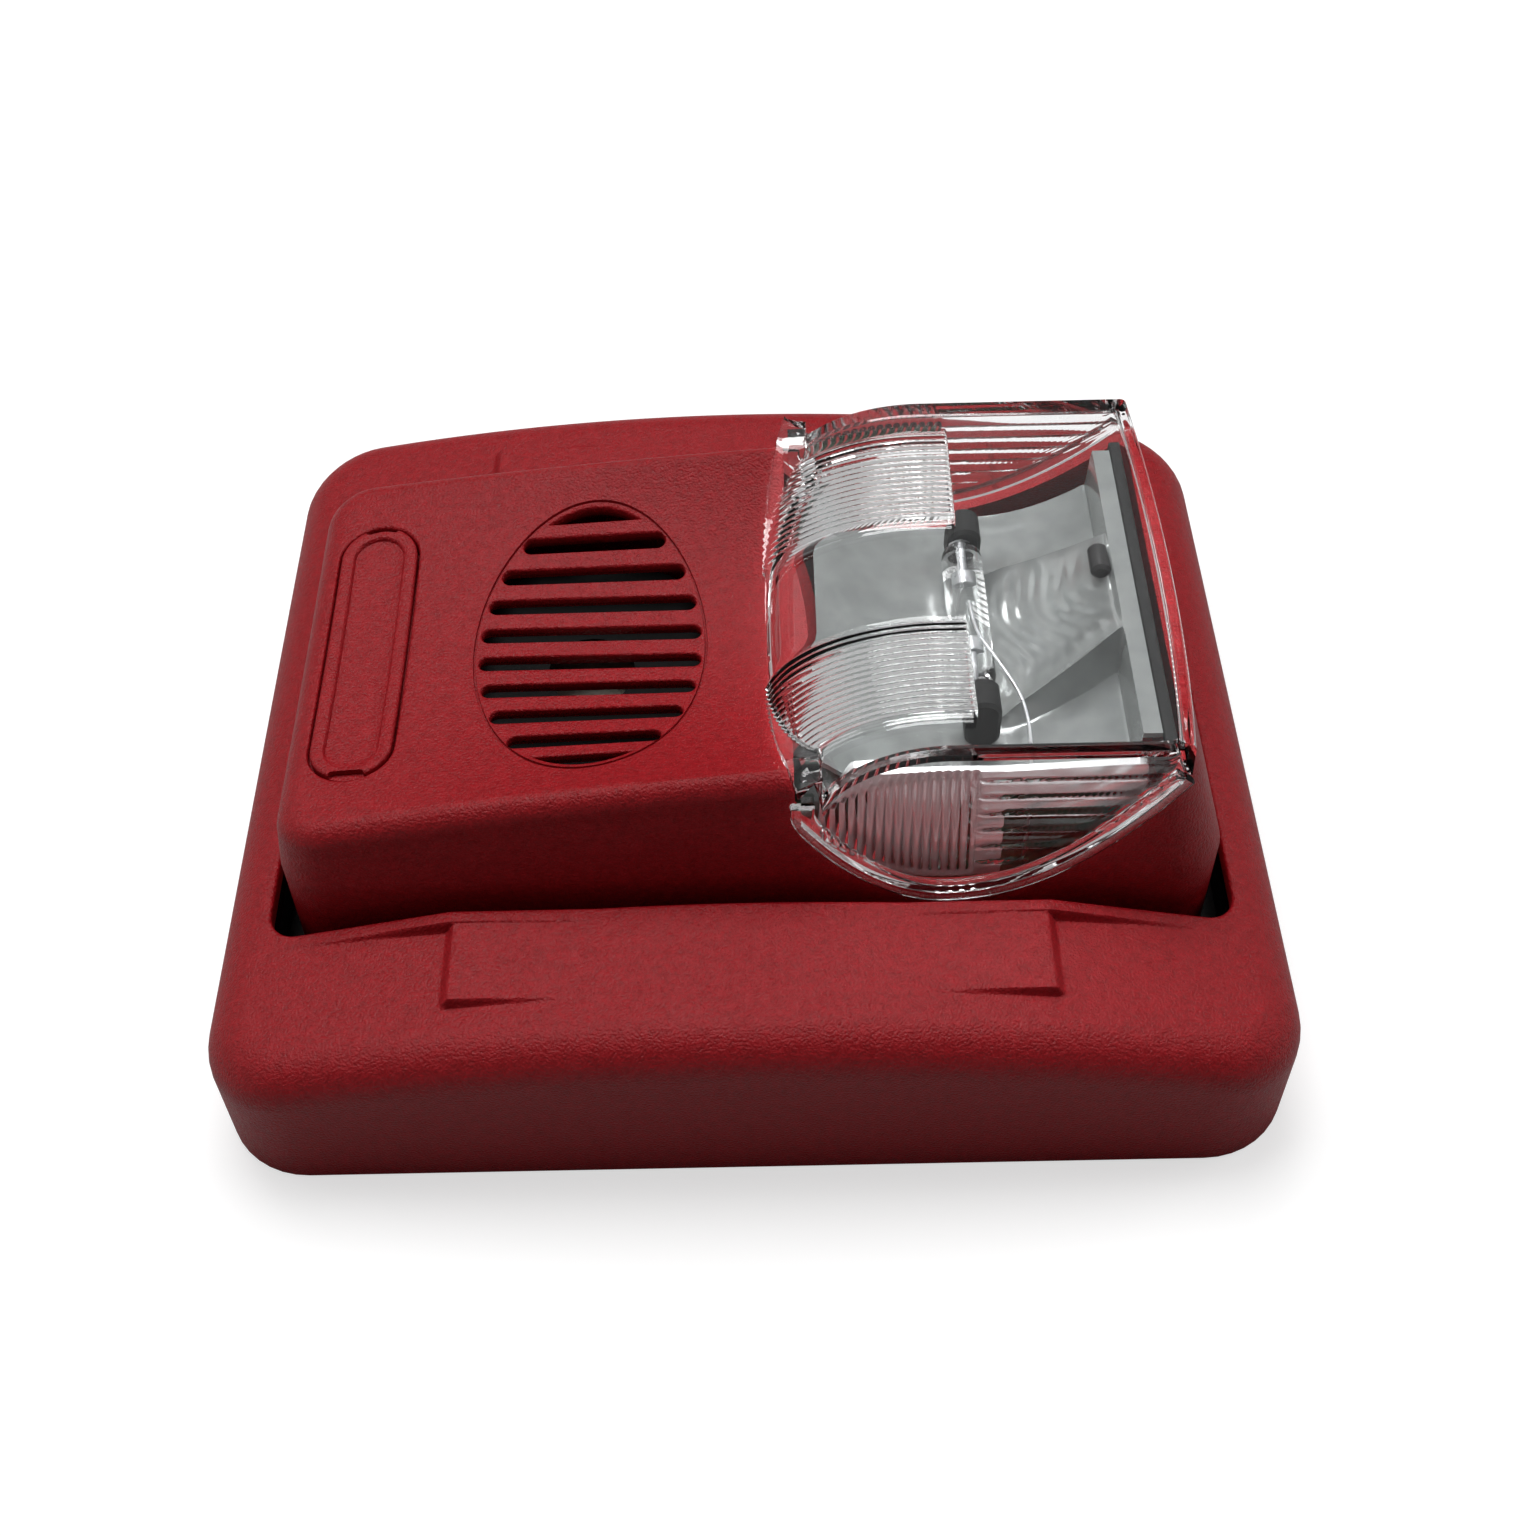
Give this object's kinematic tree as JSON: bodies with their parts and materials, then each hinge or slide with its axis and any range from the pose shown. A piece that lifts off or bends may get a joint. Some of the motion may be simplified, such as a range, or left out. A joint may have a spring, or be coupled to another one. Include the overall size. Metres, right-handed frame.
{
  "type": "horn strobe",
  "caption": "Red wall fire alarm with a slotted horn grille and a clear ribbed strobe lens over a mirror and flash tube, in a crowned trim frame.",
  "frame": {"origin": "middle of the wall face, at the back of the trim frame and mounting plate", "axes": "+Z points out of the wall, +X towards the lens end (up on the wall), +Y across the device"},
  "size_m": [0.14, 0.118, 0.0522],
  "materials": {
    "red_plastic": "fine moulded grain",
    "clear_plastic": "clear, polished",
    "tube_glass": "clear",
    "mirror_film": "bright vacuum coating",
    "black_plastic": "satin",
    "black_rubber": "matt",
    "board_green": "solder mask",
    "zinc_steel": "zinc plated",
    "brass": "plain",
    "ceramic": "silvered",
    "copper": "enamelled copper",
    "white_plastic": "plain"
  },
  "bodies": {
    "base": {"mounting_plate": "black_plastic", "trim_frame": "red_plastic"},
    "head": {"front_housing": "red_plastic", "rear_cover": "red_plastic", "strobe_lens": "clear_plastic", "flash_tube": "tube_glass", "reflector": "mirror_film", "terminal_block": "black_plastic", "light_switch": "black_plastic", "tone_switch": "black_plastic", "sounder_cup": "black_plastic", "sounder_cap": "black_plastic", "flash_capacitor": "black_plastic", "trigger_coil": "black_plastic", "control_chip": "black_plastic", "tube_grommet_near": "black_rubber", "tube_grommet_far": "black_rubber", "circuit_board": "board_green", "tube_cap_near": "zinc_steel", "tube_cap_far": "zinc_steel", "head_screw": "zinc_steel", "board_screw_1": "zinc_steel", "board_screw_2": "zinc_steel", "cover_screw_1": "zinc_steel", "cover_screw_2": "zinc_steel", "cover_screw_3": "zinc_steel", "cover_screw_4": "zinc_steel", "terminal_screw_1": "zinc_steel", "terminal_screw_2": "zinc_steel", "terminal_screw_3": "zinc_steel", "terminal_screw_4": "zinc_steel", "sounder_disc": "brass", "sounder_crystal": "ceramic", "trigger_wire": "copper", "boost_choke": "copper"},
    "badge": {"badge_plate": "red_plastic"},
    "light_selector": {"light_selector": "white_plastic"},
    "tone_selector": {"tone_selector": "white_plastic"}
  },
  "joints": [
    {"name": "head_lift", "type": "slide", "parent": "base", "child": "head", "axis": [0, 0, 1], "range_m": [0, 0.05]},
    {"name": "badge_lift", "type": "slide", "parent": "head", "child": "badge", "axis": [0, 0, 1], "range_m": [0, 0.02]},
    {"name": "light_select", "type": "slide", "parent": "head", "child": "light_selector", "axis": [1, 0, 0], "range_m": [0, 0.0072]},
    {"name": "tone_select", "type": "slide", "parent": "head", "child": "tone_selector", "axis": [1, 0, 0], "range_m": [0, 0.0048]}
  ]
}
